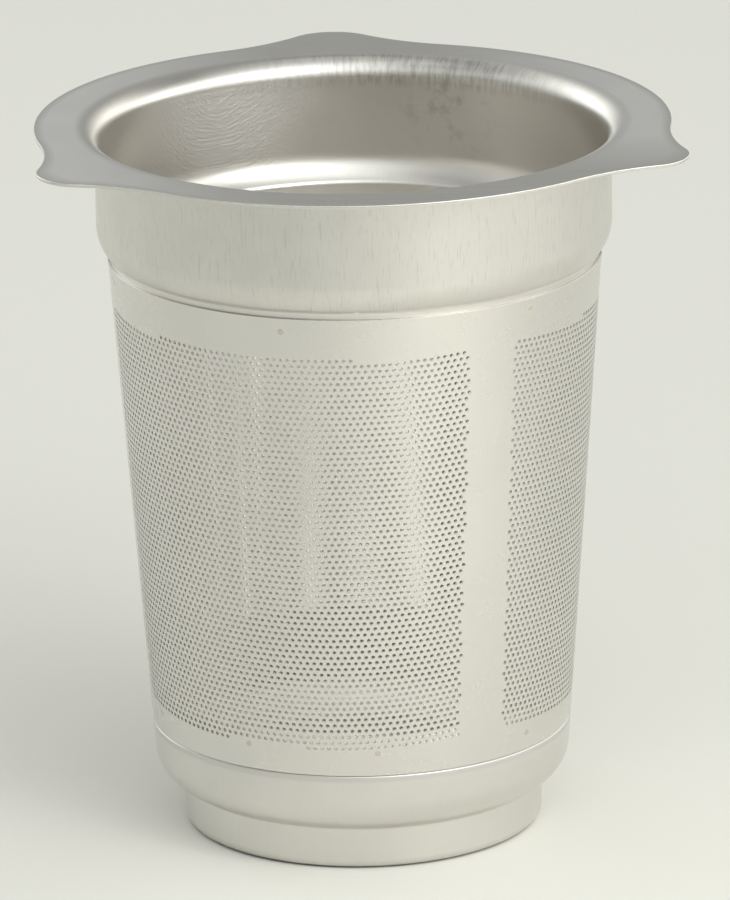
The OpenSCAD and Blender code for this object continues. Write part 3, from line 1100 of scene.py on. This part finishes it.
def with_hidden_welds(azimuth, height, degrees_on):
    """The welds that show, and the hidden ones, each so many degrees on from the last that shows."""
    hidden = azimuth[-1] + np.radians(degrees_on)
    hidden_height = np.full(len(hidden), height.mean())
    return np.concatenate([azimuth, hidden]), np.concatenate([height, hidden_height])


rim_azimuth, rim_height = with_hidden_welds(*seen_welds("rim_weld"), [60.0, 120.0, 180.0, 239.0])
rim_welds = weld_caps("rim_weld_caps", rim_azimuth, rim_height)
base_azimuth, base_height = with_hidden_welds(
    *seen_welds("base_weld"), [40.0, 80.0, 119.0, 159.0, 199.0, 239.0]
)
base_welds = weld_caps("base_weld_caps", base_azimuth, base_height)
print("rim welds at", np.degrees(rim_azimuth).round(1), "heights", rim_height.round(2))
print("base welds at", np.degrees(base_azimuth).round(1), "heights", base_height.round(2))

# %% [markdown]
# ## The seam
#
# A rolled sheet has to meet itself somewhere. No seam shows from the front, so it is
# taken to run down the plain strip at the back, as a fine dressed bead of weld.

# %% Seam bead
SEAM_AZIMUTH = math.radians(153.5)
SEAM_HALF_W, SEAM_RISE = 0.3, 0.04
SEAM_LIP, SEAM_SHORT = 0.002, 0.02
crown = np.linspace(-1, 1, 9)
seam_across = np.concatenate([crown, [1.0, -1.0]])
seam_lift = np.concatenate([SEAM_RISE * (1 - crown**2) + SEAM_LIP, [-ROOT_DEPTH, -ROOT_DEPTH]])
seam_z = np.linspace(WALL_FOOT[1] + SEAM_SHORT, WALL_TOP[1] - SEAM_SHORT, 142)
ripple = 1 + 0.12 * np.sin(seam_z * 5.2) + 0.05 * np.sin(seam_z * 11.7)
seam_turn = SEAM_AZIMUTH + seam_across[None, :] * SEAM_HALF_W / wall_r(seam_z)[:, None]
seam_depth = seam_lift[None, :] * np.where(seam_lift > 0, ripple[:, None], 1.0)
seam_points = (
    (wall_r(seam_z)[:, None] + seam_depth * COSINE)[..., None] * around(seam_turn)
    + (seam_z[:, None] - seam_depth * SINE)[..., None] * UP
)
rows, columns = seam_points.shape[:2]
number = np.arange(rows * columns).reshape(rows, columns)
beside_it = np.roll(number, -1, axis=1)
quad = np.stack([number[:-1], beside_it[:-1], beside_it[1:], number[1:]], -1).reshape(-1, 4)
strip_faces = np.vstack([quad[:, [0, 1, 2]], quad[:, [0, 2, 3]]])
fan_far, fan_near = np.arange(2, columns), np.arange(1, columns - 1)
cap_fan = np.stack([np.zeros_like(fan_far), fan_far, fan_near], -1)
seam_faces = np.vstack([strip_faces, cap_fan, cap_fan[:, ::-1] + (rows - 1) * columns])
seam_points = seam_points.reshape(-1, 3)
seam_flat = flat_normals(seam_points, seam_faces)
lifted = seam_flat[: len(strip_faces), 0] @ around(np.array([SEAM_AZIMUTH]))[0]
if lifted.max() < -lifted.min():
    seam_faces, seam_flat = seam_faces[:, ::-1], -seam_flat
seam = write_mesh("wall_seam_bead", seam_points, seam_faces, seam_flat, seam_points)
seam.data.materials.append(wall_steel)
print("seam bead:", len(seam_faces), "faces")

# %% [markdown]
# ## Floor, light and sky
#
# The picture was taken on a pale sheet in soft light, brighter from the right. Polished
# steel shows what stands round it, so the light is part of the finish. The wall leans a
# little downwards and mirrors the floor close in front, where a spot lamp makes a pool of
# light. The flange mirrors the low sky behind, which is dim, and the lip runs through the
# whole height of the sky, from the horizon behind, over the top, to the camera's side.

# %% Floor
floor_mesh = bpy.data.meshes.new("floor")
floor_mesh.from_pydata([(-5, -5, 0), (5, -5, 0), (5, 5, 0), (-5, 5, 0)], [], [(0, 1, 2, 3)])
floor = bpy.data.objects.new("floor", floor_mesh)
bpy.context.scene.collection.objects.link(floor)
floor_paper = bpy.data.materials.new("floor_paper")
floor_paper.use_nodes = True
paper = floor_paper.node_tree.nodes["Principled BSDF"]
paper.inputs["Base Color"].default_value = (0.8, 0.8, 0.75, 1.0)
paper.inputs["Roughness"].default_value = 0.6
paper.inputs["Specular IOR Level"].default_value = 0.2
floor_mesh.materials.append(floor_paper)

# %% [markdown]
# The sky is a sum of soft windows. A window has a direction a, a sharpness k and a
# strength, and towards a direction d it gives strength times exp(k (a . d - 1)): all of it
# straight at the window, half of it about 20 degrees aside, and next to nothing behind.

# %% Lamps and sky


def set_lamp(name, kind, place, aim, power, colour, **settings):
    """A lamp at a place in metres, turned towards a point."""
    lamp = bpy.data.lights.new(name, kind)
    lamp.energy, lamp.color = power, colour
    for key, value in settings.items():
        setattr(lamp, key, value)
    stand = bpy.data.objects.new(name, lamp)
    stand.location = place
    stand.rotation_mode = "QUATERNION"
    stand.rotation_quaternion = (Vector(aim) - Vector(place)).to_track_quat("-Z", "Y")
    bpy.context.scene.collection.objects.link(stand)


WARM, PLAIN, COOL = (1.0, 0.985, 0.92), (1.0, 1.0, 0.97), (0.95, 0.99, 1.0)
middle_of_basket = (0.0, 0.0, 0.05)
set_lamp("overhead_box", "AREA", (0.1, -0.1, 1.2), middle_of_basket, 2.6, PLAIN, size=1.2)
set_lamp("front_box", "AREA", (0.7, -1.0, 0.9), middle_of_basket, 1.6, PLAIN, size=0.5)
set_lamp("floor_box", "AREA", (0.5, -0.45, 0.45), (0.35, -0.3, 0.0), 0.55, WARM, size=0.3)
set_lamp(
    "floor_spot", "SPOT", (0.45, -0.55, 0.8), (0.13, -0.17, 0.0), 14.0, WARM,
    spot_size=math.radians(22.0), spot_blend=1.0, shadow_soft_size=0.04,
)

SKY_WINDOWS = {
    "front": (0, 27, 12, 1.15, PLAIN),
    "front_high": (0, 55, 12, 0.7, COOL),
    "right_front": (45, 26, 12, 3.1, PLAIN),
    "right": (90, 5, 16, 3.6, PLAIN),
    "right_back": (135, 5, 16, 2.0, WARM),
    "right_back_high": (135, 27, 12, 0.35, WARM),
    "back": (180, 5, 16, 0.2, COOL),
    "back_high": (180, 40, 8, 0.3, PLAIN),
    "left_back": (225, 5, 16, 1.45, COOL),
    "left_back_high": (225, 27, 12, 1.5, PLAIN),
    "left": (270, 27, 12, 0.85, PLAIN),
    "left_front": (315, 27, 12, 0.55, PLAIN),
}
sky = bpy.data.worlds.new("sky")
sky.use_nodes = True
sky_tree = sky.node_tree
facing = node(sky_tree, "ShaderNodeTexCoord").outputs["Generated"]
sky_colour = None
for azimuth, height, sharpness, strength, colour in SKY_WINDOWS.values():
    a, h = math.radians(azimuth), math.radians(height)
    dot = node(sky_tree, "ShaderNodeVectorMath", operation="DOT_PRODUCT")
    sky_tree.links.new(facing, dot.inputs[0])
    level_part = math.cos(h)
    dot.inputs[1].default_value = (math.sin(a) * level_part, -math.cos(a) * level_part, math.sin(h))
    below = combine(sky_tree, "SUBTRACT", dot.outputs["Value"], 1.0)
    glow = combine(sky_tree, "EXPONENT", times(sky_tree, below, sharpness), 0.0)
    window = node(sky_tree, "ShaderNodeVectorMath", operation="SCALE")
    window.inputs[0].default_value = tuple(strength * c for c in colour)
    sky_tree.links.new(glow, window.inputs["Scale"])
    if sky_colour is None:
        sky_colour = window.outputs["Vector"]
    else:
        total = node(sky_tree, "ShaderNodeVectorMath", operation="ADD")
        sky_tree.links.new(sky_colour, total.inputs[0])
        sky_tree.links.new(window.outputs["Vector"], total.inputs[1])
        sky_colour = total.outputs["Vector"]
sky_tree.links.new(sky_colour, sky_tree.nodes["Background"].inputs["Color"])
bpy.context.scene.world = sky
bpy.context.scene.view_settings.view_transform = "Standard"
print(len(SKY_WINDOWS), "soft windows in the sky")

# %% [markdown]
# ## The pieces on the basket
#
# The whole basket is one rigid body. Each new piece rides on it and takes the place of a CAD node,
# which is hidden.

# %% Ride and replace
handed = [
    (collar, "collar", "collar_steel"),
    (base_cup, "base_cup", "cup_steel"),
    (rim_welds, "rim_spot_welds", "weld_steel"),
    (base_welds, "base_spot_welds", "weld_steel"),
    *((piece, "perforated_wall", "wall_steel") for piece in (*wall_pieces, seam)),
]
for piece, node_name, slot_name in handed:
    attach(piece, "root")
    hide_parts(node_name)
print(len(handed), "pieces ride on the basket")

# %% [markdown]
# ## Measure the picture
#
# The last cell works out where the finished model shows at the picture's own points. The four sides
# of the outline are the outermost vertices of the collar and the cup in the picture.

# %% Where the image points show
outline_points = np.vstack(
    [np.array([v.co for v in piece.data.vertices]) for piece in (collar, base_cup)]
)
outline_xy = picture_of(outline_points)
outline_azimuth = np.arctan2(outline_points[:, 0], -outline_points[:, 1])
for key, axis, pick in (
    ("left", 0, np.argmin),
    ("right", 0, np.argmax),
    ("top", 1, np.argmin),
    ("bottom", 1, np.argmax),
):
    shows = outline_xy[pick(outline_xy[:, axis])][axis]


def end_of_ear(azimuth_degrees, axis, pick):
    """The outermost vertex of an ear's tip in the picture, to the left, right or top."""
    away = np.abs(turned_away(outline_azimuth, math.radians(azimuth_degrees)))
    tip = outline_xy[away < 1.2 * tip_turn]
    return tip[pick(tip[:, axis])]


def hole_near(z, side_sign, turn_by):
    """Where the hole nearest a corner of a field shows; side_sign is 1 for the right-hand side."""
    corner_slant = slant(z)
    corner_turn = sector_half * SINE - math.asin(STRIP_HALF / corner_slant)
    corner = corner_slant * np.array([side_sign * math.sin(corner_turn), math.cos(corner_turn)])
    nearest = centres[[np.argmin(np.linalg.norm(centres - corner, axis=1))]]
    return picture_of(rolled(to_sheet(nearest), 0.0, turn_by)[0][0] * MM)


def on_wall(azimuth, z):
    """A point of the wall's outer surface in metres."""
    return (wall_r(z) * around(np.array([azimuth]))[0] + np.array([0, 0, z])) * MM


WALL_FRONT = -3.0
shows_at = {
    "ear_right": end_of_ear(EAR_AZIMUTHS[0], 0, np.argmax),
    "ear_back": end_of_ear(EAR_AZIMUTHS[1], 1, np.argmin),
    "ear_left": end_of_ear(EAR_AZIMUTHS[2], 0, np.argmin),
    "wall_top_front": picture_of(on_wall(math.radians(WALL_FRONT), WALL_TOP[1])),
    "field_corner_top": hole_near(FIELD_Z[1], 1, FIELD_AZIMUTHS[0]),
    "field_corner_foot": hole_near(FIELD_Z[0], 1, FIELD_AZIMUTHS[0]),
    "strip_right_top": hole_near(FIELD_Z[1], -1, FIELD_AZIMUTHS[1]),
}
for prefix, azimuths, heights in (
    ("rim_weld", rim_azimuth, rim_height),
    ("base_weld", base_azimuth, base_height),
):
    names = [n for n in sorted(POINTS) if n.startswith(prefix)]
    for name, a, z in zip(names, azimuths, heights):
        shows_at[name] = picture_of(on_wall(a, z))
